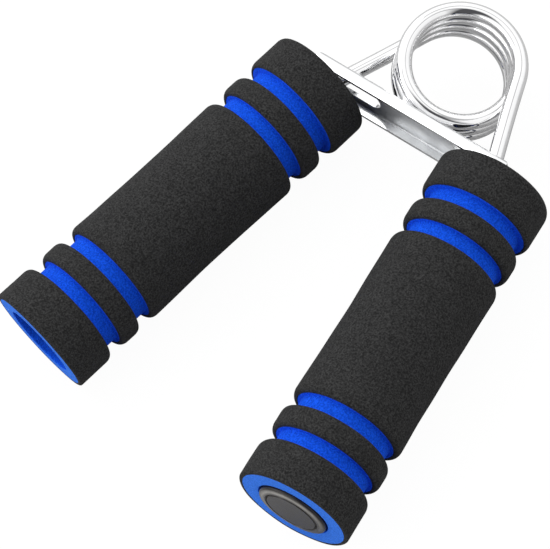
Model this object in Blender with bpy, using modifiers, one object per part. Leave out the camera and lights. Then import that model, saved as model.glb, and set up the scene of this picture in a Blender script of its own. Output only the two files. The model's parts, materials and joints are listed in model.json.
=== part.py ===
"""Hand grip strengthener: two banded foam handles on the legs of a wound torsion spring.

A pressed steel channel below the coil holds both legs in slots, so the handles rest apart
and swing together about the coil when they are squeezed. The grip lies flat: +Y runs from
the free ends to the coil, +Z is up, and the origin is under the middle of the grip.
"""

import math
from typing import NamedTuple

import bmesh
import bpy
from mathutils import Matrix, Vector

MM = 0.001

# Clearance between pieces that touch
FIT_GAP = 0.3 * MM

# Torsion spring: wire, coil and legs
WIRE_DIAMETER = 4.6 * MM
COIL_MEAN_RADIUS = 16.6 * MM
TURN_GAP = 0.5 * MM
WHOLE_TURNS = 3
LEG_SPLAY = math.radians(20.5)
LEG_STRAIGHT = 44.3 * MM
LEG_IN_HANDLE = 62.0 * MM
LEG_LEAVING_PULL = 0.6
LEG_ENTRY_PULL = 0.16

# Pressed channel bracket
SHEET = 1.2 * MM
BRACKET_WIDTH = 18.4 * MM
CHANNEL_DEPTH = 3.9 * MM
BEND_INNER_RADIUS = 0.5 * MM
FLANGE_CORNER = 1.7 * MM
BRACKET_END_MARGIN = 3.2 * MM
SLOT_LENGTH = 17.8 * MM
SLOT_SIDE_GAP = 1.6 * MM
COIL_SEAT_GAP = 0.4 * MM

# Handles: placing on the legs
HANDLE_ANGLE = math.radians(7.5)
HANDLE_GAP = 0.9 * MM

# Foam sleeve: black bands on a grooved blue tube
TOP_BAND = 12.4 * MM
END_BAND = 11.8 * MM
NARROW_BAND = 6.8 * MM
LONG_BAND = 55.4 * MM
GROOVE = 4.7 * MM
END_BAND_RADIUS = 17.3 * MM
MIDDLE_BAND_RADIUS = 17.0 * MM
LONG_BAND_WAIST = 0.3 * MM
SLEEVE_RADIUS = 15.2 * MM
SLEEVE_END_RADIUS = 15.9 * MM
GROOVE_FLOOR_RADIUS = 13.9 * MM
RIM_LENGTH = 2.0 * MM
RIM_HEIGHT = 1.2 * MM
RIM_SHARE_OF_WALL = 0.8
CUT_RIM = 0.6 * MM

# Plastic core and end plug
CORE_RADIUS = 10.5 * MM
CORE_INSET = 1.6 * MM
PLUG_HEAD = 5.8 * MM
RIGHT_PLUG_PROUD = 1.2 * MM
LEFT_PLUG_INSET = 4.5 * MM
PLUG_SLOPE_WIDTH = 3.1 * MM
PLUG_SLOPE_HEIGHT = 1.4 * MM
PLUG_STEM_RADIUS = 3.6 * MM
PLUG_STEM_LENGTH = 12.0 * MM

# Mesh fineness
TURN_STEPS = 28
RIM_STEPS = 3
WAIST_STEPS = 4
POINTS_PER_CURL = 10
LEG_POINTS = 9
CORNER_STEPS = 5
WELD = 0.00001

# Sizes that follow from the ones above
WIRE_RADIUS = WIRE_DIAMETER / 2
TURN_PITCH = WIRE_DIAMETER + TURN_GAP
WINDING = math.pi - 2 * LEG_SPLAY + 2 * math.pi * WHOLE_TURNS
COIL_LENGTH = TURN_PITCH * WINDING / (2 * math.pi)
WEB_FACE_Y = -(COIL_MEAN_RADIUS + WIRE_RADIUS + COIL_SEAT_GAP)
FREE_EDGE_Y = WEB_FACE_Y - CHANNEL_DEPTH
HANDLE_TOP_Y = FREE_EDGE_Y - HANDLE_GAP
WEB_MIDDLE_Y = WEB_FACE_Y - SHEET / 2
FOAM_LENGTH = TOP_BAND + END_BAND + LONG_BAND + 2 * NARROW_BAND + 4 * GROOVE
FOAM_BORE_RADIUS = CORE_RADIUS + FIT_GAP
WIRE_BORE_RADIUS = WIRE_RADIUS + FIT_GAP
AXIS_HEIGHT = END_BAND_RADIUS
PLUG_FACE = {"left": -LEFT_PLUG_INSET, "right": RIGHT_PLUG_PROUD}
SIDES = {"left": -1, "right": 1}


def clear_scene():
    for obj in list(bpy.data.objects):
        bpy.data.objects.remove(obj, do_unlink=True)


def make_collection(name):
    collection = bpy.data.collections.new(name)
    bpy.context.scene.collection.children.link(collection)
    return collection


def make_material(name, colour, roughness, metallic=0.0):
    material = bpy.data.materials.new(name)
    material.use_nodes = True
    shader = material.node_tree.nodes["Principled BSDF"]
    shader.inputs["Base Color"].default_value = (*colour, 1.0)
    shader.inputs["Roughness"].default_value = roughness
    shader.inputs["Metallic"].default_value = metallic
    return material


def add_object(name, data, collection, material=None):
    obj = bpy.data.objects.new(name, data)
    collection.objects.link(obj)
    if material:
        data.materials.append(material)
    return obj


def arc(centre_x, centre_y, radius_x, radius_y, start_deg, end_deg, steps):
    """Points of an elliptic arc, both ends included."""
    points = []
    for step in range(steps + 1):
        angle = math.radians(start_deg + (end_deg - start_deg) * step / steps)
        points.append((centre_x + radius_x * math.cos(angle), centre_y + radius_y * math.sin(angle)))
    return points


def revolve(name, profile, closed, collection, material):
    """Turn a (radius, height) profile about Z. It runs down its outer side, top to bottom."""
    mesh = bpy.data.meshes.new(name)
    edges = [(i, i + 1) for i in range(len(profile) - 1)]
    if closed:
        edges.append((len(profile) - 1, 0))
    mesh.from_pydata([(radius, 0.0, height) for radius, height in profile], edges, [])
    obj = add_object(name, mesh, collection, material)
    screw = obj.modifiers.new("turn", "SCREW")
    screw.axis = "Z"
    screw.angle = 2 * math.pi
    screw.steps = TURN_STEPS
    screw.render_steps = TURN_STEPS
    screw.use_merge_vertices = True
    screw.merge_threshold = WELD
    screw.use_smooth_shade = True
    return obj


def prism(name, outline, thickness, collection):
    """A filled flat outline in its own XY plane, thickened both ways along Z, as a closed mesh."""
    curve = bpy.data.curves.new(name, "CURVE")
    curve.dimensions = "2D"
    curve.fill_mode = "BOTH"
    curve.extrude = thickness / 2
    spline = curve.splines.new("POLY")
    spline.points.add(len(outline) - 1)
    for point, (x, y) in zip(spline.points, outline):
        point.co = (x, y, 0.0, 1.0)
    spline.use_cyclic_u = True
    guide = add_object(name + "_outline", curve, collection)
    bpy.context.view_layer.update()
    mesh = bpy.data.meshes.new_from_object(guide.evaluated_get(bpy.context.evaluated_depsgraph_get()))
    mesh.name = name
    bpy.data.objects.remove(guide, do_unlink=True)
    shape = bmesh.new()
    shape.from_mesh(mesh)
    bmesh.ops.remove_doubles(shape, verts=shape.verts, dist=WELD)
    bmesh.ops.recalc_face_normals(shape, faces=shape.faces)
    shape.to_mesh(mesh)
    shape.free()
    return mesh


def add_cutter(name, mesh, matrix, cutters):
    obj = add_object(name, mesh, cutters)
    obj.matrix_world = matrix
    obj.hide_render = True
    obj.display_type = "WIRE"
    return obj


def add_boolean(obj, cutter, operation):
    cut = obj.modifiers.new(cutter.name, "BOOLEAN")
    cut.operation = operation
    cut.solver = "EXACT"
    cut.object = cutter


def axes_matrix(x_axis, y_axis, origin):
    """A placing matrix from where the local X and Y axes point."""
    x_axis = Vector(x_axis)
    y_axis = Vector(y_axis)
    z_axis = x_axis.cross(y_axis)
    turn = Matrix((x_axis, y_axis, z_axis)).transposed().to_4x4()
    return Matrix.Translation(origin) @ turn


# Spring path. All of it is measured from the pivot, the middle of the coil, with Z = 0 in
# the plane of the two handles. Half a turn about Y maps the grip onto itself.

def coil_start():
    """Where the right leg meets the coil, in the coil's own frame, whose Z is the winding axis."""
    across = COIL_MEAN_RADIUS * math.cos(LEG_SPLAY)
    return Vector((across, COIL_MEAN_RADIUS * math.sin(LEG_SPLAY), COIL_LENGTH / 2))


def coil_leaving():
    """The way the right leg leaves the coil, in line with the wire there, in the coil's own frame."""
    across = COIL_MEAN_RADIUS * math.sin(LEG_SPLAY)
    down = COIL_MEAN_RADIUS * math.cos(LEG_SPLAY)
    return Vector((across, -down, TURN_PITCH / (2 * math.pi))).normalized()


def coil_tilt():
    """The coil's lean about Y that brings each leg into the handles' plane where it bends."""
    bend = coil_start() + coil_leaving() * LEG_STRAIGHT
    return math.atan2(bend.z, bend.x)


def tilt(point):
    """From the coil's own frame to the handles' plane."""
    return Matrix.Rotation(coil_tilt(), 3, "Y") @ Vector(point)


def coil_point(turned):
    """The wire's centre after turning this far from where the right leg meets the coil."""
    angle = LEG_SPLAY + turned
    height = COIL_LENGTH / 2 - TURN_PITCH * turned / (2 * math.pi)
    return tilt((COIL_MEAN_RADIUS * math.cos(angle), COIL_MEAN_RADIUS * math.sin(angle), height))


def handle_axis(side):
    """Direction of a handle, from its top end to its free end."""
    return Vector((side * math.sin(HANDLE_ANGLE), -math.cos(HANDLE_ANGLE), 0.0))


def leg_bend():
    """Where the right leg bends into line with its handle, in the handles' plane."""
    return tilt(coil_start() + coil_leaving() * LEG_STRAIGHT)


def bend_depth():
    """How far below the handle's top end the leg bends."""
    return (HANDLE_TOP_Y - leg_bend().y) / math.cos(HANDLE_ANGLE)


def handle_top(side):
    """The middle of a handle's top end, back along the handle from the leg's bend."""
    top = leg_bend() - handle_axis(1) * bend_depth()
    return Vector((side * top.x, top.y, 0.0))


def right_leg_points():
    """From the coil down through the bracket, bending into line with the handle, to its end."""
    start = tilt(coil_start())
    axis = handle_axis(1)
    bend = leg_bend()
    first = start + (bend - start) * LEG_LEAVING_PULL
    second = bend - axis * LEG_STRAIGHT * LEG_ENTRY_PULL
    points = []
    for step in range(1, LEG_POINTS + 1):
        t = step / LEG_POINTS
        s = 1 - t
        points.append(start * s**3 + first * 3 * s * s * t + second * 3 * s * t * t + bend * t**3)
    points.append(bend + axis * LEG_IN_HANDLE)
    return points


def spring_path():
    right = right_leg_points()
    steps = round(POINTS_PER_CURL * WINDING / (2 * math.pi))
    coil = [coil_point(WINDING * step / steps) for step in range(steps + 1)]
    left = [Vector((-point.x, point.y, -point.z)) for point in right]
    return right[::-1] + coil + left


def least_gap(points):
    """The smallest clear distance between stretches of wire at least a third of a turn apart."""
    apart = 2 * math.pi * COIL_MEAN_RADIUS / 3
    along = [0.0]
    for before, after in zip(points, points[1:]):
        along.append(along[-1] + (after - before).length)
    least = math.inf
    for i, first in enumerate(points):
        for j in range(i + 1, len(points)):
            if along[j] - along[i] > apart:
                least = min(least, (points[j] - first).length - WIRE_DIAMETER)
    return least


def leg_crossing(y):
    """Where the right leg's centre line passes this Y, and its slope in X there."""
    points = [coil_point(0.0)] + right_leg_points()
    for before, after in zip(points, points[1:]):
        if after.y <= y <= before.y:
            share = (before.y - y) / (before.y - after.y)
            slope = (after.x - before.x) / (before.y - after.y)
            return before.lerp(after, share), slope
    raise ValueError("the leg does not reach this far down")


def leg_offset(depth):
    """How far the right leg lies from its handle's axis, this far below the handle's top."""
    axis = handle_axis(1)
    top = handle_top(1)
    points = [coil_point(0.0)] + right_leg_points()
    for before, after in zip(points, points[1:]):
        depth_before = (before - top).dot(axis)
        depth_after = (after - top).dot(axis)
        if depth_before <= depth <= depth_after:
            point = before.lerp(after, (depth - depth_before) / (depth_after - depth_before))
            return (point - top - axis * depth).length
    raise ValueError("the leg does not pass this depth")


def build_spring(grip, collection, material):
    path = spring_path()
    print(f"least gap of the spring to itself: {least_gap(path) / MM:.2f} mm")
    curve = bpy.data.curves.new("torsion_spring", "CURVE")
    curve.dimensions = "3D"
    curve.bevel_depth = WIRE_RADIUS
    curve.bevel_resolution = 1
    curve.use_fill_caps = True
    spline = curve.splines.new("POLY")
    spline.points.add(len(path) - 1)
    for point, place in zip(spline.points, path):
        point.co = (*place, 1.0)
    spline.use_smooth = True
    spring = add_object("torsion_spring", curve, collection, material)
    spring.parent = grip


def channel_outline():
    """The bent sheet's section: X across the channel, Y towards the coil, web on top."""
    half = BRACKET_WIDTH / 2
    outer = BEND_INNER_RADIUS + SHEET
    inner = BEND_INNER_RADIUS
    right_side = [(half, -CHANNEL_DEPTH)]
    right_side += arc(half - outer, -outer, outer, outer, 0, 90, CORNER_STEPS)
    left_side = [(-x, y) for x, y in reversed(right_side)]
    inside = [(-half + SHEET, -CHANNEL_DEPTH)]
    inside += arc(-half + outer, -outer, inner, inner, 180, 90, CORNER_STEPS)
    inside += [(-x, y) for x, y in reversed(inside)]
    return right_side + left_side + inside


def flange_outline(length):
    """The bracket seen square to its flanges, with its end corners rounded."""
    inset = length / 2 - FLANGE_CORNER
    corner = FLANGE_CORNER
    right_side = arc(inset, -corner, corner, corner, 90, 0, CORNER_STEPS)
    right_side += arc(inset, corner - CHANNEL_DEPTH, corner, corner, 0, -90, CORNER_STEPS)
    return right_side + [(-x, y) for x, y in reversed(right_side)]


def slot_outline():
    """A round-ended slot, as tall as the wire with its side gaps, lying along X."""
    end = WIRE_RADIUS + SLOT_SIDE_GAP
    half = SLOT_LENGTH / 2 - end
    right_end = arc(half, 0.0, end, end, 90, -90, 2 * CORNER_STEPS)
    return right_end + [(-x, -y) for x, y in right_end]


def build_bracket(grip, collection, cutters, material):
    crossing, slope = leg_crossing(WEB_MIDDLE_Y)
    half_wire = WIRE_RADIUS * math.hypot(1.0, slope) + slope * SHEET / 2
    slot_outer_end = crossing.x + half_wire + FIT_GAP
    length = 2 * (slot_outer_end + BRACKET_END_MARGIN)
    place = Vector((0.0, WEB_FACE_Y, 0.0))
    mesh = prism("channel_bracket", channel_outline(), length, cutters)
    bracket = add_object("channel_bracket", mesh, collection, material)
    bracket.parent = grip
    bracket.matrix_local = axes_matrix((0, 0, 1), (0, 1, 0), place)
    trim = prism("flange_trim", flange_outline(length), 2 * BRACKET_WIDTH, cutters)
    trim_place = grip.matrix_world @ axes_matrix((1, 0, 0), (0, 1, 0), place)
    add_boolean(bracket, add_cutter("flange_trim", trim, trim_place, cutters), "INTERSECT")
    for name, side in SIDES.items():
        slot = prism(name + "_slot", slot_outline(), 4 * SHEET, cutters)
        middle = Vector((side * (slot_outer_end - SLOT_LENGTH / 2), WEB_MIDDLE_Y, side * crossing.z))
        slot_place = grip.matrix_world @ axes_matrix((1, 0, 0), (0, 0, 1), middle)
        add_boolean(bracket, add_cutter(name + "_slot", slot, slot_place, cutters), "DIFFERENCE")


class Band(NamedTuple):
    """A black foam band and the radius of the blue sleeve under it."""

    name: str
    length: float
    radius: float
    sleeve_radius: float
    waist: float = 0.0


def bands():
    """The bands of one handle, from its top end down."""
    return [
        Band("top_band", TOP_BAND, END_BAND_RADIUS, SLEEVE_END_RADIUS),
        Band("upper_ring_band", NARROW_BAND, MIDDLE_BAND_RADIUS, SLEEVE_RADIUS),
        Band("palm_band", LONG_BAND, MIDDLE_BAND_RADIUS, SLEEVE_RADIUS, LONG_BAND_WAIST),
        Band("lower_ring_band", NARROW_BAND, MIDDLE_BAND_RADIUS, SLEEVE_RADIUS),
        Band("end_band", END_BAND, END_BAND_RADIUS, SLEEVE_END_RADIUS),
    ]


def band_profile(band, top):
    """A foam band with soft rims, but a sharper one where the handle is cut off at its free end."""
    bottom = top - band.length
    bore = band.sleeve_radius + FIT_GAP
    rim_height = min(RIM_HEIGHT, RIM_SHARE_OF_WALL * (band.radius - bore))
    low_height = rim_height
    low_length = RIM_LENGTH
    if band.name == "end_band":
        low_height = min(CUT_RIM, rim_height)
        low_length = CUT_RIM
    profile = [(bore, top)]
    profile += arc(band.radius - rim_height, top - RIM_LENGTH, rim_height, RIM_LENGTH, 90, 0, RIM_STEPS)
    if band.waist:
        run = band.length - RIM_LENGTH - low_length
        for step in range(1, WAIST_STEPS):
            share = step / WAIST_STEPS
            drawn = band.waist * math.sin(math.pi * share)
            profile.append((band.radius - drawn, top - RIM_LENGTH - run * share))
    profile += arc(band.radius - low_height, bottom + low_length, low_height, low_length, 0, -90, RIM_STEPS)
    profile.append((bore, bottom))
    return profile


def sleeve_profile():
    """The blue tube, grooved between the bands."""
    profile = [(FOAM_BORE_RADIUS, 0.0)]
    height = 0.0
    for band in bands():
        if band.name != "top_band":
            profile += [(GROOVE_FLOOR_RADIUS, height), (GROOVE_FLOOR_RADIUS, height - GROOVE)]
            height -= GROOVE
        profile += [(band.sleeve_radius, height), (band.sleeve_radius, height - band.length)]
        height -= band.length
    profile.append((FOAM_BORE_RADIUS, -FOAM_LENGTH))
    return profile


def core_profile(plug_seat):
    """The plastic rod: a tapered mouth for the slanting leg, the wire's bore, the plug's socket."""
    mouth_radius = leg_offset(CORE_INSET) + WIRE_BORE_RADIUS + FIT_GAP
    bottom = plug_seat + FIT_GAP
    socket_top = bottom + PLUG_STEM_LENGTH + 2 * FIT_GAP
    socket_radius = PLUG_STEM_RADIUS + FIT_GAP
    return [
        (mouth_radius, -CORE_INSET),
        (CORE_RADIUS, -CORE_INSET),
        (CORE_RADIUS, bottom),
        (socket_radius, bottom),
        (socket_radius, socket_top),
        (WIRE_BORE_RADIUS, socket_top),
        (WIRE_BORE_RADIUS, -bend_depth()),
    ]


def plug_profile(seat):
    """An end plug with a sloping rim round its flat face, and a stem, solid to its axis."""
    face = seat - PLUG_HEAD
    profile = [(0.0, seat + PLUG_STEM_LENGTH), (PLUG_STEM_RADIUS, seat + PLUG_STEM_LENGTH)]
    profile += [(PLUG_STEM_RADIUS, seat), (CORE_RADIUS, seat)]
    profile += [(CORE_RADIUS, face + PLUG_SLOPE_HEIGHT), (CORE_RADIUS - PLUG_SLOPE_WIDTH, face)]
    profile.append((0.0, face))
    return profile


def build_handle(name, side, pivot, collection, materials):
    """One handle's pieces, turned about the handle's axis and carried by the pivot."""
    axis = handle_axis(side)
    across = Vector((math.cos(HANDLE_ANGLE), side * math.sin(HANDLE_ANGLE), 0.0))
    place = axes_matrix(across, -axis.cross(across), handle_top(side))
    plug_seat = PLUG_HEAD - FOAM_LENGTH - PLUG_FACE[name]
    pieces = [
        revolve(name + "_foam_sleeve", sleeve_profile(), True, collection, materials["blue foam"]),
        revolve(name + "_core", core_profile(plug_seat), True, collection, materials["core plastic"]),
        revolve(name + "_end_plug", plug_profile(plug_seat), False, collection, materials["plug plastic"]),
    ]
    height = 0.0
    for band in bands():
        profile = band_profile(band, height)
        pieces.append(revolve(f"{name}_{band.name}", profile, True, collection, materials["black foam"]))
        height -= band.length + GROOVE
    for piece in pieces:
        piece.parent = pivot
        piece.matrix_local = place


def add_empty(name, place, collection):
    empty = add_object(name, None, collection)
    empty.matrix_world = Matrix.Translation(place)
    return empty


def middle_y():
    """The middle of the grip's length, measured from the pivot."""
    top = max(point.y for point in spring_path()) + WIRE_RADIUS
    lowest = band_profile(bands()[-1], END_BAND - FOAM_LENGTH)
    bottom = HANDLE_TOP_Y + min(
        height * math.cos(HANDLE_ANGLE) - radius * math.sin(HANDLE_ANGLE) for radius, height in lowest
    )
    return (top + bottom) / 2


def main():
    clear_scene()
    collection = make_collection("hand_grip_strengthener")
    cutters = make_collection("cutters")
    cutters.hide_render = True
    materials = {
        "spring chrome": make_material("spring_chrome", (0.78, 0.79, 0.81), 0.08, 1.0),
        "bracket chrome": make_material("bracket_chrome", (0.74, 0.75, 0.77), 0.12, 1.0),
        "black foam": make_material("black_foam", (0.021, 0.021, 0.022), 0.95),
        "blue foam": make_material("blue_foam", (0.004, 0.055, 0.62), 0.9),
        "core plastic": make_material("core_plastic", (0.03, 0.03, 0.032), 0.5),
        "plug plastic": make_material("plug_plastic", (0.018, 0.018, 0.02), 0.25),
    }
    pivot_place = Vector((0.0, -middle_y(), AXIS_HEIGHT))
    grip = add_empty("grip_pivot", pivot_place, collection)
    bpy.context.view_layer.update()
    build_spring(grip, collection, materials["spring chrome"])
    build_bracket(grip, collection, cutters, materials["bracket chrome"])
    for name, side in SIDES.items():
        pivot = add_empty(name + "_handle_pivot", pivot_place, collection)
        bpy.context.view_layer.update()
        build_handle(name, side, pivot, collection, materials)


main()
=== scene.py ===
"""Looks of the hand grip strengthener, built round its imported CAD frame."""

import json
import math
from typing import NamedTuple

import bmesh
import bpy
import numpy as np
from mathutils import Matrix, Vector


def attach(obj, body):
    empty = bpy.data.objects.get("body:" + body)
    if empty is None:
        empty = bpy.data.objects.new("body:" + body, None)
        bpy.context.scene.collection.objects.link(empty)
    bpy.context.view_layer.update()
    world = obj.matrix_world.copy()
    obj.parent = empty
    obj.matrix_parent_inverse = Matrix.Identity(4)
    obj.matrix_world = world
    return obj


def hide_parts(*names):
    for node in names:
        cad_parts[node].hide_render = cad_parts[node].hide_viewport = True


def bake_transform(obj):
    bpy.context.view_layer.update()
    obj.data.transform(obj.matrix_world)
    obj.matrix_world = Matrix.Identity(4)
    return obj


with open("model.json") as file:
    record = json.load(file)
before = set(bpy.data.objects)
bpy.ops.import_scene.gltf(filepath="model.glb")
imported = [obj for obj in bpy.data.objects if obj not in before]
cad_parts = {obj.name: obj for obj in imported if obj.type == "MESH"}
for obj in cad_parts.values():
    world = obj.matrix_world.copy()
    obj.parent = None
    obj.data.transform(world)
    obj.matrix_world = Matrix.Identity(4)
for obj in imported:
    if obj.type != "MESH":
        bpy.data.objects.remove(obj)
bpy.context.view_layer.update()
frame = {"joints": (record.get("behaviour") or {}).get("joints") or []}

MM = 0.001

# The grip's sizes, as in the CAD source
PIVOT = Vector(frame["joints"][0]["pos_m"])
FIT_GAP = 0.3 * MM
FOAM_FIT = 0.02 * MM
FOAM_UNEVEN = 0.06 * MM
WIRE_RADIUS = 2.3 * MM
COIL_RADIUS = 16.6 * MM
TURN_PITCH = 5.1 * MM
WHOLE_TURNS = 3
LEG_SPLAY = math.radians(20.5)
LEG_STRAIGHT = 44.3 * MM
LEG_IN_HANDLE = 62.0 * MM
LEG_LEAVING_PULL = 0.6
LEG_ENTRY_PULL = 0.16
SHEET = 1.2 * MM
BRACKET_WIDTH = 18.4 * MM
CHANNEL_DEPTH = 3.9 * MM
BEND_INNER_RADIUS = 0.5 * MM
FLANGE_CORNER = 1.7 * MM
EDGE_SOFTNESS = 0.4 * MM
BRACKET_END_MARGIN = 3.2 * MM
SLOT_LENGTH = 17.8 * MM
SLOT_SIDE_GAP = 1.6 * MM
COIL_SEAT_GAP = 0.4 * MM
HANDLE_ANGLE = math.radians(7.5)
HANDLE_GAP = 0.9 * MM
TOP_BAND = 12.4 * MM
END_BAND = 11.8 * MM
NARROW_BAND = 6.8 * MM
LONG_BAND = 55.4 * MM
GROOVE = 4.7 * MM
END_BAND_RADIUS = 17.3 * MM
MIDDLE_BAND_RADIUS = 17.0 * MM
LONG_BAND_WAIST = 0.3 * MM
SLEEVE_RADIUS = 15.2 * MM
SLEEVE_END_RADIUS = 15.9 * MM
GROOVE_FLOOR_RADIUS = 13.9 * MM
RIM_LENGTH = 2.0 * MM
RIM_HEIGHT = 1.2 * MM
RIM_SHARE_OF_WALL = 0.8
CUT_RIM = 0.6 * MM
CORE_RADIUS = 10.5 * MM
CORE_INSET = 1.6 * MM
PLUG_HEAD = 5.8 * MM
PLUG_SLOPE_WIDTH = 2.3 * MM
PLUG_FACE = {"left": -4.5 * MM, "right": 1.2 * MM}
PLUG_STEM_RADIUS = 3.6 * MM
PLUG_STEM_LENGTH = 12.0 * MM
CUT_SLANT = {"left": math.radians(4.8), "right": 0.0}
CUT_LEAN = (0.48, 0.0, 0.87)
SIDES = {"left": -1, "right": 1}

# Sizes that follow from the ones above
WINDING = math.pi - 2 * LEG_SPLAY + 2 * math.pi * WHOLE_TURNS
COIL_LENGTH = TURN_PITCH * WINDING / (2 * math.pi)
WEB_FACE_Y = -(COIL_RADIUS + WIRE_RADIUS + COIL_SEAT_GAP)
WEB_MIDDLE_Y = WEB_FACE_Y - SHEET / 2
HANDLE_TOP_Y = WEB_FACE_Y - CHANNEL_DEPTH - HANDLE_GAP
FOAM_LENGTH = TOP_BAND + END_BAND + LONG_BAND + 2 * NARROW_BAND + 4 * GROOVE
FOAM_BORE_RADIUS = CORE_RADIUS + FIT_GAP

# Mesh fineness
TURN_SEGMENTS = 128
PROFILE_GAP = 1.5 * MM
RIM_STEPS = 9
EDGE_STEPS = 4
WIRE_SIDES = 32
POINTS_PER_TURN = 80
LEG_POINTS = 90


def mesh_object(name, vertices, faces, material, sharp_deg=40):
    mesh = bpy.data.meshes.new(name)
    mesh.from_pydata([tuple(v) for v in vertices], [], faces)
    mesh.materials.append(material)
    mesh.update()
    mesh.shade_smooth()
    mesh.set_sharp_from_angle(angle=math.radians(sharp_deg))
    obj = bpy.data.objects.new(name, mesh)
    bpy.context.scene.collection.objects.link(obj)
    return obj


def points_of(mesh):
    return np.array([tuple(v.co) for v in mesh.vertices])


def keep_share(mesh, name, shares):
    """Keeps a share from 0 to 1 for each point, for a material to read."""
    layer = mesh.attributes.new(name, "FLOAT", "POINT")
    layer.data.foreach_set("value", np.asarray(shares, dtype=np.float32))


# Node helpers. Coordinates are the object's own, in metres, so patterns have real sizes.

def new_material(name, colour, roughness, metallic=0.0):
    material = bpy.data.materials.new(name)
    material.use_nodes = True
    tree = material.node_tree
    shader = tree.nodes["Principled BSDF"]
    shader.inputs["Base Color"].default_value = (*colour, 1.0)
    shader.inputs["Roughness"].default_value = roughness
    shader.inputs["Metallic"].default_value = metallic
    return material, tree, shader


def add_node(tree, kind, **settings):
    node = tree.nodes.new(kind)
    for key, value in settings.items():
        setattr(node, key, value)
    return node


def object_place(tree):
    return add_node(tree, "ShaderNodeTexCoord").outputs["Object"]


def noise(tree, place, scale, detail=2.0, rough=0.5):
    node = add_node(tree, "ShaderNodeTexNoise")
    node.inputs["Scale"].default_value = scale
    node.inputs["Detail"].default_value = detail
    node.inputs["Roughness"].default_value = rough
    tree.links.new(place, node.inputs["Vector"])
    return node.outputs["Fac"]


def cells(tree, place, scale):
    """Distance to the middle of the nearest foam cell, as a share of a cell."""
    node = add_node(tree, "ShaderNodeTexVoronoi", feature="F1")
    node.inputs["Scale"].default_value = scale
    tree.links.new(place, node.inputs["Vector"])
    return node.outputs["Distance"]


def ramp(tree, value, low, high, colour_low, colour_high):
    node = add_node(tree, "ShaderNodeValToRGB")
    node.color_ramp.elements[0].position = low
    node.color_ramp.elements[1].position = high
    node.color_ramp.elements[0].color = (*colour_low, 1.0)
    node.color_ramp.elements[1].color = (*colour_high, 1.0)
    tree.links.new(value, node.inputs["Fac"])
    return node.outputs["Color"]


def spread(tree, value, low, high, to_low, to_high):
    node = add_node(tree, "ShaderNodeMapRange")
    node.inputs["From Min"].default_value = low
    node.inputs["From Max"].default_value = high
    node.inputs["To Min"].default_value = to_low
    node.inputs["To Max"].default_value = to_high
    tree.links.new(value, node.inputs["Value"])
    return node.outputs["Result"]


def math_node(tree, operation, first, second):
    node = add_node(tree, "ShaderNodeMath", operation=operation)
    for socket, value in zip(node.inputs, (first, second)):
        if isinstance(value, (int, float)):
            socket.default_value = value
        else:
            tree.links.new(value, socket)
    return node.outputs["Value"]


def mix(tree, share, first, second):
    node = add_node(tree, "ShaderNodeMix", data_type="RGBA")
    tree.links.new(share, node.inputs["Factor"])
    for socket, value in ((node.inputs[6], first), (node.inputs[7], second)):
        if isinstance(value, tuple):
            socket.default_value = (*value, 1.0)
        else:
            tree.links.new(value, socket)
    return node.outputs[2]


def bump(tree, shader, height, strength, distance):
    node = add_node(tree, "ShaderNodeBump")
    node.inputs["Strength"].default_value = strength
    node.inputs["Distance"].default_value = distance
    tree.links.new(height, node.inputs["Height"])
    tree.links.new(node.outputs["Normal"], shader.inputs["Normal"])


def mask(tree, name):
    """A share from 0 to 1 that a mesh keeps for each of its points."""
    return add_node(tree, "ShaderNodeAttribute", attribute_name=name).outputs["Fac"]


# Materials. Scales count the pattern's repeats in a metre.

FOAM_ROUGHNESS = 0.95
SHEEN_ROUGHNESS = 0.4
GRAIN_SCALE = 1900.0
GRAIN_RANGE = (0.36, 0.64)
PATCH_SCALE = 260.0
PATCH_RANGE = (0.35, 0.7)
PATCH_SHARE = 0.2
PIT_SCALE = 2100.0
PIT_RANGE = (0.15, 0.35)
PIT_HEIGHT = 0.7
FOAM_BUMP = (0.6, 0.0003)
SMEAR_SCALE = 160.0
SMEAR_RANGE = (0.3, 0.7)
SMEAR_TINT = 0.94
# darker streaks within the painted shade of the bracket's recess
RECESS_STREAK = 0.75
RECESS_ROUGHER = 0.2
RIPPLE_SCALE = 700.0
RIPPLE_HEIGHT = 0.00008
BLOTCH_SCALE = 300.0
BLOTCH_RANGE = (0.3, 0.7)
MOULD_SCALE = 1200.0
MOULD_BUMP = (0.12, 0.00005)


class Foam(NamedTuple):
    """The tones and surface of one kind of foam."""

    dark: tuple
    light: tuple
    pitted: float
    shine: float
    sheen: float = 0.0
    # painted shade: a dark tone for the sleeve's end under the bracket, standing in for its shadow
    painted_shade_end: tuple = None


def foam_material(name, foam):
    """Fine-celled foam: a low mottle of cells, small pits and a soft unevenness."""
    material, tree, shader = new_material(name, foam.light, FOAM_ROUGHNESS)
    shader.inputs["Specular IOR Level"].default_value = foam.shine
    shader.inputs["Sheen Weight"].default_value = foam.sheen
    shader.inputs["Sheen Roughness"].default_value = SHEEN_ROUGHNESS
    shader.inputs["Sheen Tint"].default_value = (*foam.light, 1.0)
    place = object_place(tree)
    grain = noise(tree, place, GRAIN_SCALE, 2.0, 0.6)
    patch = noise(tree, place, PATCH_SCALE, 2.0, 0.5)
    pit = cells(tree, place, PIT_SCALE)
    colour = ramp(tree, grain, *GRAIN_RANGE, foam.dark, foam.light)
    colour = mix(tree, spread(tree, patch, *PATCH_RANGE, 0.0, PATCH_SHARE), colour, foam.dark)
    colour = mix(tree, spread(tree, pit, *PIT_RANGE, foam.pitted, 0.0), colour, foam.dark)
    # painted shade: where the mask marks the end under the bracket, the colour goes dark navy as if in
    # shadow
    if foam.painted_shade_end:
        colour = mix(tree, mask(tree, "painted_shade_end"), colour, foam.painted_shade_end)
    tree.links.new(colour, shader.inputs["Base Color"])
    height = math_node(tree, "ADD", math_node(tree, "MULTIPLY", pit, PIT_HEIGHT), grain)
    bump(tree, shader, height, *FOAM_BUMP)
    return material


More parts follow.
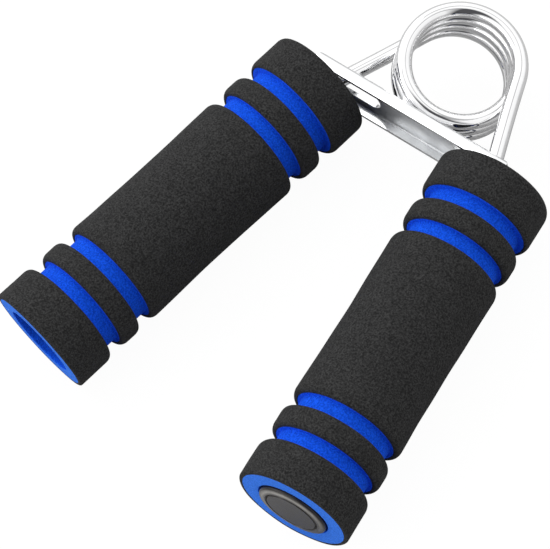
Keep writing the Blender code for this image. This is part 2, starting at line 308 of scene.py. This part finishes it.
def chrome_material(name, colour, low, high, ripple, recess_shade_tone=None):
    """Plated steel: cloudy differences of gloss and tint, a fine ripple, and recesses with painted
    shade, darker in tint and rougher.
    """
    material, tree, shader = new_material(name, colour, low, 1.0)
    place = object_place(tree)
    smear = noise(tree, place, SMEAR_SCALE, 4.0, 0.6)
    tint = ramp(tree, smear, *SMEAR_RANGE, colour, tuple(c * SMEAR_TINT for c in colour))
    gloss = spread(tree, smear, 0.35, 0.7, low, high)
    # painted shade: in the masked recess the tint darkens, standing in for shade inside the channel; the
    # roughness is raised there too
    if recess_shade_tone:
        streak = ramp(tree, smear, *SMEAR_RANGE, recess_shade_tone, tuple(c * RECESS_STREAK for c in recess_shade_tone))
        recess_shade_and_roughness = mask(tree, "recess_shade_and_roughness")
        tint = mix(tree, recess_shade_and_roughness, tint, streak)
        gloss = math_node(tree, "ADD", gloss, math_node(tree, "MULTIPLY", recess_shade_and_roughness, RECESS_ROUGHER))
    tree.links.new(tint, shader.inputs["Base Color"])
    tree.links.new(gloss, shader.inputs["Roughness"])
    bump(tree, shader, noise(tree, place, RIPPLE_SCALE, 2.0), ripple, RIPPLE_HEIGHT)
    return material


def plastic_material(name, dark, light, roughness, shine, painted_highlight=None):
    """Moulded plastic: faint blotches in colour and gloss, and, where a mask asks for it, a pale painted
    highlight.
    """
    material, tree, shader = new_material(name, light, roughness)
    shader.inputs["Specular IOR Level"].default_value = shine
    place = object_place(tree)
    blotch = noise(tree, place, BLOTCH_SCALE, 3.0)
    colour = ramp(tree, blotch, *BLOTCH_RANGE, dark, light)
    if painted_highlight:
        # painted highlight: the masked slope takes a pale tone that stands in for light caught on the
        # plug's shoulder
        highlight_tone = ramp(tree, blotch, 0.25, 0.75, tuple(0.6 * c for c in painted_highlight), painted_highlight)
        colour = mix(tree, mask(tree, "painted_highlight"), colour, highlight_tone)
    tree.links.new(colour, shader.inputs["Base Color"])
    gloss = spread(tree, blotch, *BLOTCH_RANGE, roughness * 0.8, roughness * 1.25)
    tree.links.new(gloss, shader.inputs["Roughness"])
    bump(tree, shader, noise(tree, place, MOULD_SCALE, 2.0), *MOULD_BUMP)
    return material


BLACK_FOAM = foam_material(
    "black_foam",
    Foam(dark=(0.0095, 0.0095, 0.0097), light=(0.0445, 0.0445, 0.0447), pitted=0.7, shine=0.2),
)
BLUE_FOAM = foam_material(
    "blue_foam",
    Foam(
        dark=(0.003, 0.062, 0.58),
        light=(0.009, 0.12, 0.95),
        pitted=0.2,
        shine=0.1,
        # painted shade for the sleeve's end under the bracket
        painted_shade_end=(0.002, 0.006, 0.03),
    ),
)
CUT_BLUE_FOAM = foam_material(
    "cut_blue_foam",
    Foam(dark=(0.029, 0.16, 0.7), light=(0.047, 0.222, 0.95), pitted=0.3, shine=0.2, sheen=0.3),
)
SPRING_CHROME = chrome_material("spring_chrome", (0.95, 0.95, 0.955), 0.03, 0.07, 0.018)
# the recess tone is painted shade for the inside of the channel
BRACKET_CHROME = chrome_material(
    "bracket_chrome", (0.9, 0.905, 0.915), 0.08, 0.17, 0.16, recess_shade_tone=(0.74, 0.755, 0.77)
)
CORE_PLASTIC = plastic_material("core_plastic", (0.02, 0.02, 0.021), (0.03, 0.03, 0.032), 0.5, 0.5)
PLUG_PLASTIC = plastic_material(
    "plug_plastic",
    dark=(0.016, 0.014, 0.0125),
    light=(0.025, 0.0215, 0.019),
    roughness=0.2,
    shine=0.3,
    # pale tone of the painted highlight on the plug's shoulder
    painted_highlight=(0.4, 0.385, 0.36),
)


# Turned pieces

def arc(centre_x, centre_y, radius_x, radius_y, start_deg, end_deg, steps):
    angles = [math.radians(start_deg + (end_deg - start_deg) * i / steps) for i in range(steps + 1)]
    return [(centre_x + radius_x * math.cos(a), centre_y + radius_y * math.sin(a)) for a in angles]


def fill_in(points, gap):
    """The same closed profile with points no further apart than gap."""
    filled = []
    for (r0, z0), (r1, z1) in zip(points, points[1:] + points[:1]):
        count = max(1, math.ceil(math.hypot(r1 - r0, z1 - z0) / gap))
        filled += [(r0 + (r1 - r0) * i / count, z0 + (z1 - z0) * i / count) for i in range(count)]
    return filled


def turned(name, profile, material, place, uneven=0.0, inner=0.0, seed=0):
    """A closed profile of (radius, height) turned about Z and placed.

    Where it is uneven, low waves dent its outer side inward, fading out at the radius inner.
    """
    profile = np.array(profile)
    count = len(profile)
    angle = np.linspace(0, 2 * math.pi, TURN_SEGMENTS, endpoint=False)
    radius = np.repeat(profile[None, :, 0], TURN_SEGMENTS, axis=0)
    height = np.repeat(profile[None, :, 1], TURN_SEGMENTS, axis=0)
    turn = np.repeat(angle[:, None], count, axis=1)
    if uneven:
        rng = np.random.default_rng(seed)
        swell = np.zeros_like(radius)
        waves = 14
        fade = 0.8 * MM
        for _ in range(waves):
            lobes = rng.integers(1, 9)
            pace = rng.uniform(60, 420)
            swell += np.sin(lobes * turn + pace * height + rng.uniform(0, 2 * math.pi)) / waves**0.5
        outer = np.clip((radius - inner) / fade, 0, 1)
        radius = radius - uneven * (swell.max() - swell) * outer
    points = np.stack([radius * np.cos(turn), radius * np.sin(turn), height], axis=2).reshape(-1, 3)
    faces = []
    for i in range(TURN_SEGMENTS):
        j = (i + 1) % TURN_SEGMENTS
        for k in range(count):
            n = (k + 1) % count
            faces.append((i * count + k, i * count + n, j * count + n, j * count + k))
    rotation = np.array(place.to_3x3())
    points = points @ rotation.T + np.array(place.translation)
    return mesh_object(name, points, faces, material)


class Band(NamedTuple):
    """A black foam band and the radius of the blue sleeve under it."""

    name: str
    length: float
    radius: float
    sleeve_radius: float
    waist: float = 0.0


BANDS = [
    Band("top_band", TOP_BAND, END_BAND_RADIUS, SLEEVE_END_RADIUS),
    Band("upper_ring_band", NARROW_BAND, MIDDLE_BAND_RADIUS, SLEEVE_RADIUS),
    Band("palm_band", LONG_BAND, MIDDLE_BAND_RADIUS, SLEEVE_RADIUS, LONG_BAND_WAIST),
    Band("lower_ring_band", NARROW_BAND, MIDDLE_BAND_RADIUS, SLEEVE_RADIUS),
    Band("end_band", END_BAND, END_BAND_RADIUS, SLEEVE_END_RADIUS),
]


def band_profile(band, top):
    """A foam band, snug on its sleeve, with soft rims and a sharper one at the cut free end."""
    bottom = top - band.length
    bore = band.sleeve_radius + FOAM_FIT
    high = min(RIM_HEIGHT, RIM_SHARE_OF_WALL * (band.radius - bore))
    low = CUT_RIM if band.name == "end_band" else high
    low_length = CUT_RIM if band.name == "end_band" else RIM_LENGTH
    profile = [(bore, top)]
    profile += arc(band.radius - high, top - RIM_LENGTH, high, RIM_LENGTH, 90, 0, RIM_STEPS)
    run = band.length - RIM_LENGTH - low_length
    steps = 16
    for step in range(1, steps):
        share = step / steps
        drawn = band.waist * math.sin(math.pi * share)
        profile.append((band.radius - drawn, top - RIM_LENGTH - run * share))
    profile += arc(band.radius - low, bottom + low_length, low, low_length, 0, -90, RIM_STEPS)
    profile.append((bore, bottom))
    return fill_in(profile, PROFILE_GAP)


def sleeve_profile():
    """The blue tube, grooved between the bands, its cut edges a little soft."""
    soft = 0.35 * MM
    floor = GROOVE_FLOOR_RADIUS
    profile = arc(FOAM_BORE_RADIUS + soft, -soft, soft, soft, 180, 90, EDGE_STEPS)
    height = 0.0
    for band in BANDS:
        wall = band.sleeve_radius - soft
        if band.name == "top_band":
            profile.append((band.sleeve_radius, height))
        else:
            profile += arc(floor + soft, height - soft, soft, soft, 90, 180, EDGE_STEPS)
            height -= GROOVE
            profile += arc(floor + soft, height + soft, soft, soft, 180, 270, EDGE_STEPS)
            profile += arc(wall, height - soft, soft, soft, 90, 0, EDGE_STEPS)
        height -= band.length
        if band.name == "end_band":
            profile.append((band.sleeve_radius, height))
        else:
            profile += arc(wall, height + soft, soft, soft, 0, -90, EDGE_STEPS)
    profile += arc(FOAM_BORE_RADIUS + soft, height + soft, soft, soft, 270, 180, EDGE_STEPS)
    return fill_in(profile, PROFILE_GAP)


def core_profile(mouth, seat):
    """The plastic rod: a tapered mouth for the leg, the wire's bore and the plug's socket."""
    bottom = seat + FIT_GAP
    bore = WIRE_RADIUS + FIT_GAP
    socket = PLUG_STEM_RADIUS + FIT_GAP
    socket_top = bottom + PLUG_STEM_LENGTH + 2 * FIT_GAP
    lip = 0.5 * MM
    profile = [(mouth, -CORE_INSET)]
    profile += arc(CORE_RADIUS - lip, -CORE_INSET - lip, lip, lip, 90, 0, EDGE_STEPS)
    profile += [(CORE_RADIUS, bottom), (socket, bottom), (socket, socket_top), (bore, socket_top)]
    profile.append((bore, -bend_depth()))
    return profile


def plug_profile(seat):
    """A plug with a rounded shoulder, a gentle slope and a fine groove round its flat face."""
    face = seat - PLUG_HEAD
    axis = 0.05 * MM
    shoulder = 0.8 * MM
    wall = 1.1 * MM
    groove_width = 0.7 * MM
    groove_depth = 0.5 * MM
    slope_end = face + 0.05 * MM
    shoulder_turn = -62
    shoulder_steps = 14
    edge = CORE_RADIUS - PLUG_SLOPE_WIDTH
    profile = [(axis, seat + PLUG_STEM_LENGTH), (PLUG_STEM_RADIUS, seat + PLUG_STEM_LENGTH)]
    profile += [(PLUG_STEM_RADIUS, seat), (CORE_RADIUS, seat)]
    middle = (CORE_RADIUS - shoulder, face + wall)
    profile += arc(*middle, shoulder, shoulder, 0, shoulder_turn, shoulder_steps)
    outer_radius, outer_height = profile[-1]
    slope_steps = 8
    for step in range(1, slope_steps + 1):
        share = step / slope_steps
        height = outer_height + (slope_end - outer_height) * share
        profile.append((outer_radius + (edge - outer_radius) * share, height))
    profile.append((edge - groove_width / 2, face + groove_depth))
    profile += [(edge - groove_width, face), (axis, face)]
    return profile


# The spring's line, from the pivot, in the handles' plane

def coil_start():
    """Where the right leg meets the coil, in the coil's own frame, whose Z is the winding axis."""
    across = COIL_RADIUS * math.cos(LEG_SPLAY)
    return Vector((across, COIL_RADIUS * math.sin(LEG_SPLAY), COIL_LENGTH / 2))


def coil_leaving():
    """The way the right leg leaves the coil, in the coil's own frame."""
    across = COIL_RADIUS * math.sin(LEG_SPLAY)
    down = COIL_RADIUS * math.cos(LEG_SPLAY)
    return Vector((across, -down, TURN_PITCH / (2 * math.pi))).normalized()


def tilt(point):
    """From the coil's own frame to the handles' plane, where the legs bend."""
    bend = coil_start() + coil_leaving() * LEG_STRAIGHT
    return Matrix.Rotation(math.atan2(bend.z, bend.x), 3, "Y") @ Vector(point)


def coil_point(turned_by):
    angle = LEG_SPLAY + turned_by
    height = COIL_LENGTH / 2 - TURN_PITCH * turned_by / (2 * math.pi)
    return tilt((COIL_RADIUS * math.cos(angle), COIL_RADIUS * math.sin(angle), height))


def handle_axis(side):
    return Vector((side * math.sin(HANDLE_ANGLE), -math.cos(HANDLE_ANGLE), 0.0))


def leg_bend():
    return tilt(coil_start() + coil_leaving() * LEG_STRAIGHT)


def bend_depth():
    return (HANDLE_TOP_Y - leg_bend().y) / math.cos(HANDLE_ANGLE)


def handle_top(side):
    top = leg_bend() - handle_axis(1) * bend_depth()
    return Vector((side * top.x, top.y, 0.0))


def leg_line():
    """The right leg from the coil to its bend, then to its end."""
    start = tilt(coil_start())
    axis = handle_axis(1)
    bend = leg_bend()
    first = start + (bend - start) * LEG_LEAVING_PULL
    second = bend - axis * LEG_STRAIGHT * LEG_ENTRY_PULL
    points = []
    for step in range(LEG_POINTS + 1):
        t = step / LEG_POINTS
        s = 1 - t
        points.append(start * s**3 + first * 3 * s * s * t + second * 3 * s * t * t + bend * t**3)
    return points + [bend + axis * LEG_IN_HANDLE]


def leg_crossing(y):
    """Where the right leg's centre line passes this Y, and its slope in X there."""
    leg = leg_line()
    for before, after in zip(leg, leg[1:]):
        if after.y <= y <= before.y:
            slope = (after.x - before.x) / (before.y - after.y)
            return before.lerp(after, (before.y - y) / (before.y - after.y)), slope
    raise ValueError("the leg does not reach this far down")


def leg_offset(depth):
    """How far the right leg lies from its handle's axis, this far below the handle's top."""
    axis = handle_axis(1)
    top = handle_top(1)
    near = min(leg_line(), key=lambda p: abs((p - top).dot(axis) - depth))
    return (near - top - axis * (near - top).dot(axis)).length


def mirrored(points):
    """Half a turn about Y, which maps the right leg onto the left."""
    return [Vector((-p.x, p.y, -p.z)) for p in points]


def tube(name, line, radius, material):
    """A round tube along a line, its rings carried along without twist, with flat ends."""
    line = np.array([tuple(p) for p in line]) + np.array(PIVOT)
    along = np.gradient(line, axis=0)
    along /= np.linalg.norm(along, axis=1)[:, None]
    side = np.cross(along[0], (0.0, 0.0, 1.0))
    turn = np.linspace(0, 2 * math.pi, WIRE_SIDES, endpoint=False)
    rings = []
    for point, direction in zip(line, along):
        side = side - direction * (side @ direction)
        side /= np.linalg.norm(side)
        other = np.cross(direction, side)
        rings.append(point + radius * (np.cos(turn)[:, None] * side + np.sin(turn)[:, None] * other))
    faces = []
    for i in range(len(line) - 1):
        low = i * WIRE_SIDES
        high = low + WIRE_SIDES
        for k in range(WIRE_SIDES):
            n = (k + 1) % WIRE_SIDES
            faces.append((low + k, low + n, high + n, high + k))
    last = (len(line) - 1) * WIRE_SIDES
    faces.append(tuple(range(WIRE_SIDES))[::-1])
    faces.append(tuple(range(last, last + WIRE_SIDES)))
    return mesh_object(name, np.concatenate(rings), faces, material)


def build_spring():
    """The coil with a stub of each leg, and the legs, which bend between the coil and the handles."""
    leg = leg_line()
    stub_length = 3 * MM
    seam = next(i for i, p in enumerate(leg) if (p - leg[0]).length > stub_length)
    steps = round(POINTS_PER_TURN * WINDING / (2 * math.pi))
    coil = [coil_point(WINDING * i / steps) for i in range(1, steps)]
    stub = leg[: seam + 1]
    wound = tube("spring_coil", stub[::-1] + coil + mirrored(stub), WIRE_RADIUS, SPRING_CHROME)
    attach(wound, "spring_frame")
    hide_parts("torsion_spring")
    for name, side in SIDES.items():
        line = leg[seam:] if side > 0 else mirrored(leg[seam:])
        piece = tube(f"spring_{name}_leg", line, WIRE_RADIUS, SPRING_CHROME)
        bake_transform(piece)


# Bracket

def prism(name, outline, thickness, matrix):
    """A closed block with this outline in its own XY plane, thick along its Z, placed by matrix."""
    shape = bmesh.new()
    low = [shape.verts.new((x, y, -thickness / 2)) for x, y in outline]
    high = [shape.verts.new((x, y, thickness / 2)) for x, y in outline]
    shape.faces.new(low[::-1])
    shape.faces.new(high)
    for i in range(len(outline)):
        j = (i + 1) % len(outline)
        shape.faces.new((low[i], low[j], high[j], high[i]))
    bmesh.ops.recalc_face_normals(shape, faces=shape.faces)
    mesh = bpy.data.meshes.new(name)
    shape.to_mesh(mesh)
    shape.free()
    mesh.transform(matrix)
    obj = bpy.data.objects.new(name, mesh)
    bpy.context.scene.collection.objects.link(obj)
    return obj


def axes_matrix(x_axis, y_axis, origin):
    x_axis = Vector(x_axis)
    y_axis = Vector(y_axis)
    turn = Matrix((x_axis, y_axis, x_axis.cross(y_axis))).transposed().to_4x4()
    return Matrix.Translation(origin) @ turn


def channel_outline():
    """The bent sheet's section: X across the channel, Y towards the coil, web on top."""
    half = BRACKET_WIDTH / 2
    outer = BEND_INNER_RADIUS + SHEET
    right = [(half, -CHANNEL_DEPTH)] + arc(half - outer, -outer, outer, outer, 0, 90, 12)
    inside = [(-half + SHEET, -CHANNEL_DEPTH)]
    inside += arc(-half + outer, -outer, BEND_INNER_RADIUS, BEND_INNER_RADIUS, 180, 90, 12)
    inside += [(-x, y) for x, y in reversed(inside)]
    return right + [(-x, y) for x, y in reversed(right)] + inside


def flange_outline(length):
    """The bracket seen square to its flanges, with its end corners rounded."""
    inset = length / 2 - FLANGE_CORNER
    corner = FLANGE_CORNER
    right = arc(inset, -corner, corner, corner, 90, 0, 12)
    right += arc(inset, corner - CHANNEL_DEPTH, corner, corner, 0, -90, 12)
    return right + [(-x, y) for x, y in reversed(right)]


def slot_outline():
    """A round-ended slot lying along X."""
    end = WIRE_RADIUS + SLOT_SIDE_GAP
    right = arc(SLOT_LENGTH / 2 - end, 0.0, end, end, 90, -90, 24)
    return right + [(-x, -y) for x, y in right]


def build_bracket():
    crossing, slope = leg_crossing(WEB_MIDDLE_Y)
    half_wire = WIRE_RADIUS * math.hypot(1.0, slope) + slope * SHEET / 2
    outer_end = crossing.x + half_wire + FIT_GAP
    length = 2 * (outer_end + BRACKET_END_MARGIN)
    place = PIVOT + Vector((0.0, WEB_FACE_Y, 0.0))
    bracket = prism("bracket", channel_outline(), length, axes_matrix((0, 0, 1), (0, 1, 0), place))
    trim = prism("trim", flange_outline(length), 2 * BRACKET_WIDTH, Matrix.Translation(place))
    cutters = [(trim, "INTERSECT")]
    for name, side in SIDES.items():
        middle = Vector((side * (outer_end - SLOT_LENGTH / 2), WEB_MIDDLE_Y, side * crossing.z))
        slot_place = axes_matrix((1, 0, 0), (0, 0, 1), PIVOT + middle)
        cutters.append((prism(name + "_slot", slot_outline(), 4 * SHEET, slot_place), "DIFFERENCE"))
    for cutter, operation in cutters:
        cut = bracket.modifiers.new(cutter.name, "BOOLEAN")
        cut.operation = operation
        cut.solver = "EXACT"
        cut.object = cutter
    soften = bracket.modifiers.new("soften", "BEVEL")
    soften.width = EDGE_SOFTNESS
    soften.segments = 3
    soften.limit_method = "ANGLE"
    soften.angle_limit = math.radians(40)
    even = bracket.modifiers.new("even", "WEIGHTED_NORMAL")
    even.keep_sharp = True
    bracket.data.shade_smooth()
    bpy.context.view_layer.update()
    done = bpy.data.meshes.new_from_object(bracket.evaluated_get(bpy.context.evaluated_depsgraph_get()))
    bracket.modifiers.clear()
    bracket.data = done
    for cutter, _ in cutters:
        bpy.data.objects.remove(cutter, do_unlink=True)
    done.materials.clear()
    done.materials.append(BRACKET_CHROME)
    points = points_of(done) - np.array(place)
    # painted shade mask: inside the channel, fuller towards the web; it also roughens the chrome there
    inside = (points[:, 1] < 0.1 * MM - SHEET) & (np.abs(points[:, 2]) < BRACKET_WIDTH / 2 - 0.9 * SHEET)
    depth = (points[:, 1] + CHANNEL_DEPTH) / (CHANNEL_DEPTH - SHEET)
    keep_share(done, "recess_shade_and_roughness", inside * np.clip(depth, 0, 1))
    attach(bracket, "spring_frame")
    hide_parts("channel_bracket")


# Handles

def depths_of(piece, top, axis):
    """How far each of a piece's points lies below its handle's top."""
    return (points_of(piece.data) - np.array(top)) @ np.array(axis)


def finish_ends(sleeve, depths):
    """Marks the sleeve's end under the bracket for painted shade, a dark navy that stands in for the
    bracket's shadow there, and gives its free end the look of cut foam.
    """
    near = 0.1 * MM
    # painted shade mask: the end face under the bracket
    keep_share(sleeve.data, "painted_shade_end", np.abs(depths) < near)
    sleeve.data.materials.append(CUT_BLUE_FOAM)
    at_cut = np.abs(depths - FOAM_LENGTH) < near
    for face in sleeve.data.polygons:
        face.material_index = int(all(at_cut[v] for v in face.vertices))


def slant_cut(piece, depths, top, axis, slant):
    """Leans the cut free end, its upper inner side further out, as far up as the band's middle."""
    points = points_of(piece.data)
    across = np.array(CUT_LEAN) - np.array(axis) * np.dot(CUT_LEAN, axis)
    across /= np.linalg.norm(across)
    share = np.clip(1 - (FOAM_LENGTH - depths) / (END_BAND / 2), 0, 1)
    reach = math.tan(slant) * ((points - np.array(top)) @ across) * share
    points = points + reach[:, None] * np.array(axis)
    piece.data.vertices.foreach_set("co", points.ravel())
    piece.data.update()


def paint_plug_highlight(plug, depths, face, top, axis):
    """Paints a pale highlight on the slope round a plug's face, strongest on its upper side, as if lit
    from above.
    """
    crest_radius = CORE_RADIUS - 0.55 * PLUG_SLOPE_WIDTH
    half_width = 0.45 * PLUG_SLOPE_WIDTH
    points = points_of(plug.data) - np.array(top)
    spokes = points - depths[:, None] * np.array(axis)
    radii = np.linalg.norm(spokes, axis=1)
    on_front = depths > face - PLUG_HEAD / 2
    near_crest = np.clip(1 - np.abs(radii - crest_radius) / half_width, 0, 1)
    even_highlight = 0.45
    upper_gain = 0.75
    # the upper side gets more of the painted highlight, as if lit from above
    upper = np.clip(even_highlight + upper_gain * spokes[:, 2] / radii, 0, 1)
    keep_share(plug.data, "painted_highlight", on_front * near_crest * upper)


def build_handle(name, side, seed):
    axis = handle_axis(side)
    across = Vector((math.cos(HANDLE_ANGLE), side * math.sin(HANDLE_ANGLE), 0.0))
    top = PIVOT + handle_top(side)
    place = axes_matrix(across, -axis.cross(across), top)
    mouth = leg_offset(CORE_INSET) + WIRE_RADIUS + 2 * FIT_GAP
    seat = PLUG_HEAD - FOAM_LENGTH - PLUG_FACE[name]
    sleeve = turned(f"{name}_sleeve", sleeve_profile(), BLUE_FOAM, place)
    finish_ends(sleeve, depths_of(sleeve, top, axis))
    rod = turned(f"{name}_rod", core_profile(mouth, seat), CORE_PLASTIC, place)
    plug = turned(f"{name}_plug", plug_profile(seat), PLUG_PLASTIC, place)
    # paints the highlight on the plug's shoulder
    paint_plug_highlight(plug, depths_of(plug, top, axis), FOAM_LENGTH + PLUG_FACE[name], top, axis)
    made = [
        (sleeve, "foam_sleeve", "blue_foam"),
        (rod, "core", "core_plastic"),
        (plug, "end_plug", "plug_plastic"),
    ]
    height = 0.0
    for number, band in enumerate(BANDS):
        piece = turned(
            f"{name}_{band.name}_foam",
            band_profile(band, height),
            BLACK_FOAM,
            place,
            uneven=FOAM_UNEVEN,
            inner=band.sleeve_radius,
            seed=seed + number,
        )
        made.append((piece, band.name, "black_foam"))
        height -= band.length + GROOVE
    for piece, node, slot in made:
        if "foam" in slot:
            slant_cut(piece, depths_of(piece, top, axis), top, axis, CUT_SLANT[name])
        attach(piece, f"{name}_handle")
        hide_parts(f"{name}_{node}")


# Floor, light and camera

FLOOR_SIZE = 6.0
FLOOR_GREY = 0.5
FLOOR_GLOW = 1.07
FLOOR_WHITENESS = 0.9
SKY_LEFT = 1.27
SKY_RIGHT = 0.98
FRONT_SHADE = (0.08, 0.08, 0.085)
FRONT_AZIMUTH = math.radians(-43)
LOW_SKY_SHADE = (0.72, 0.72, 0.725)
SEAM_HEIGHT = 0.885
SEAM_SHADE = (0.45, 0.45, 0.455)
KEY_PLACE = (-0.75, 0.1, 0.75)
KEY_SIZE = 0.9
KEY_POWER = 4.0
STRIP_PLACE = (-0.25, -0.95, 0.42)
STRIP_WIDTH = 1.5
STRIP_HEIGHT = 0.16
STRIP_POWER = 2.6
CLIP_RANGE = (0.05, 20.0)
CAMERA_FROM_PIVOT = Vector((0.3991, -0.3682, 0.8497))
CAMERA_RIGHT = Vector((0.7721, 0.6157, -0.1577))
CAMERA_DOWN = Vector((0.4861, -0.7319, -0.4774))
IMAGE_WIDTH = 550.0
FOCAL_PIXELS = 3508.0
SENSOR_WIDTH = 36.0


def white_for_camera(tree, seen, look, output, share):
    """Joins two shaders so that the camera mostly sees plain white and all else sees the look."""
    choice = add_node(tree, "ShaderNodeMixShader")
    camera_ray = add_node(tree, "ShaderNodeLightPath").outputs["Is Camera Ray"]
    tree.links.new(math_node(tree, "MULTIPLY", camera_ray, share), choice.inputs["Fac"])
    tree.links.new(look, choice.inputs[1])
    tree.links.new(seen, choice.inputs[2])
    tree.links.new(choice.outputs["Shader"], output.inputs["Surface"])


def build_floor():
    """A pale floor: almost plain white to look at, and a soft grey where the chrome mirrors it."""
    material, tree, shader = new_material("floor_white", (FLOOR_GREY,) * 3, 0.9)
    shader.inputs["Specular IOR Level"].default_value = 0.2
    glow = add_node(tree, "ShaderNodeEmission")
    glow.inputs["Strength"].default_value = FLOOR_GLOW
    output = tree.nodes["Material Output"]
    white_for_camera(tree, glow.outputs["Emission"], shader.outputs["BSDF"], output, FLOOR_WHITENESS)
    half = FLOOR_SIZE / 2
    corners = [(-half, -half, 0.0), (half, -half, 0.0), (half, half, 0.0), (-half, half, 0.0)]
    mesh_object("floor", corners, [(0, 1, 2, 3)], material)


def along(tree, way, direction):
    node = add_node(tree, "ShaderNodeVectorMath", operation="DOT_PRODUCT")
    node.inputs[1].default_value = direction
    tree.links.new(way, node.inputs[0])
    return node.outputs["Value"]


def build_sky():
    """A white tent, brighter on the left and duller near the floor, with an open dark front."""
    world = bpy.data.worlds.new("studio")
    world.use_nodes = True
    bpy.context.scene.world = world
    tree = world.node_tree
    tent = tree.nodes["Background"]
    way = add_node(tree, "ShaderNodeTexCoord").outputs["Generated"]
    strength = spread(tree, along(tree, way, (1.0, 0.0, 0.0)), -1.0, 1.0, SKY_LEFT, SKY_RIGHT)
    tree.links.new(strength, tent.inputs["Strength"])
    front = (math.cos(FRONT_AZIMUTH), math.sin(FRONT_AZIMUTH), 0.0)
    beside = (-front[1], front[0], 0.0)
    ahead = spread(tree, along(tree, way, front), 0.2, 0.4, 0.0, 1.0)
    off_middle = math_node(tree, "ABSOLUTE", along(tree, way, beside), 0.0)
    opening = math_node(tree, "MULTIPLY", ahead, spread(tree, off_middle, 0.2, 0.42, 1.0, 0.0))
    height = along(tree, way, (0.0, 0.0, 1.0))
    walls = ramp(tree, height, 0.12, 0.3, LOW_SKY_SHADE, (1.0, 1.0, 1.0))
    off_seam = math_node(tree, "ABSOLUTE", math_node(tree, "SUBTRACT", height, SEAM_HEIGHT), 0.0)
    walls = mix(tree, spread(tree, off_seam, 0.02, 0.035, 1.0, 0.0), walls, SEAM_SHADE)
    tree.links.new(mix(tree, opening, walls, FRONT_SHADE), tent.inputs["Color"])
    plain = add_node(tree, "ShaderNodeBackground")
    plain.inputs["Color"].default_value = (1.0, 1.0, 1.0, 1.0)
    output = tree.nodes["World Output"]
    white_for_camera(tree, plain.outputs["Background"], tent.outputs["Background"], output, 1.0)


def add_light(name, place, width, height, power):
    light = bpy.data.lights.new(name, "AREA")
    light.shape = "RECTANGLE"
    light.size = width
    light.size_y = height
    light.energy = power
    obj = bpy.data.objects.new(name, light)
    obj.location = place
    obj.rotation_mode = "QUATERNION"
    obj.rotation_quaternion = (Vector((0, 0, PIVOT.z)) - Vector(place)).to_track_quat("-Z", "Y")
    bpy.context.scene.collection.objects.link(obj)


def build_camera():
    forward = CAMERA_RIGHT.cross(CAMERA_DOWN).normalized()
    right = (CAMERA_RIGHT - forward * CAMERA_RIGHT.dot(forward)).normalized()
    turn = Matrix((right, right.cross(forward), -forward)).transposed().to_4x4()
    camera = bpy.data.cameras.new("camera")
    camera.sensor_fit = "HORIZONTAL"
    camera.sensor_width = SENSOR_WIDTH
    camera.lens = FOCAL_PIXELS * SENSOR_WIDTH / IMAGE_WIDTH
    camera.clip_start, camera.clip_end = CLIP_RANGE
    obj = bpy.data.objects.new("camera", camera)
    obj.matrix_world = Matrix.Translation(PIVOT + CAMERA_FROM_PIVOT) @ turn
    bpy.context.scene.collection.objects.link(obj)
    bpy.context.scene.camera = obj


build_camera()
build_spring()
build_bracket()
for index, (side_name, side_sign) in enumerate(SIDES.items()):
    build_handle(side_name, side_sign, 10 * index)
build_floor()
build_sky()
add_light("key", KEY_PLACE, KEY_SIZE, KEY_SIZE, KEY_POWER)
add_light("strip", STRIP_PLACE, STRIP_WIDTH, STRIP_HEIGHT, STRIP_POWER)
bpy.context.scene.view_settings.view_transform = "Standard"
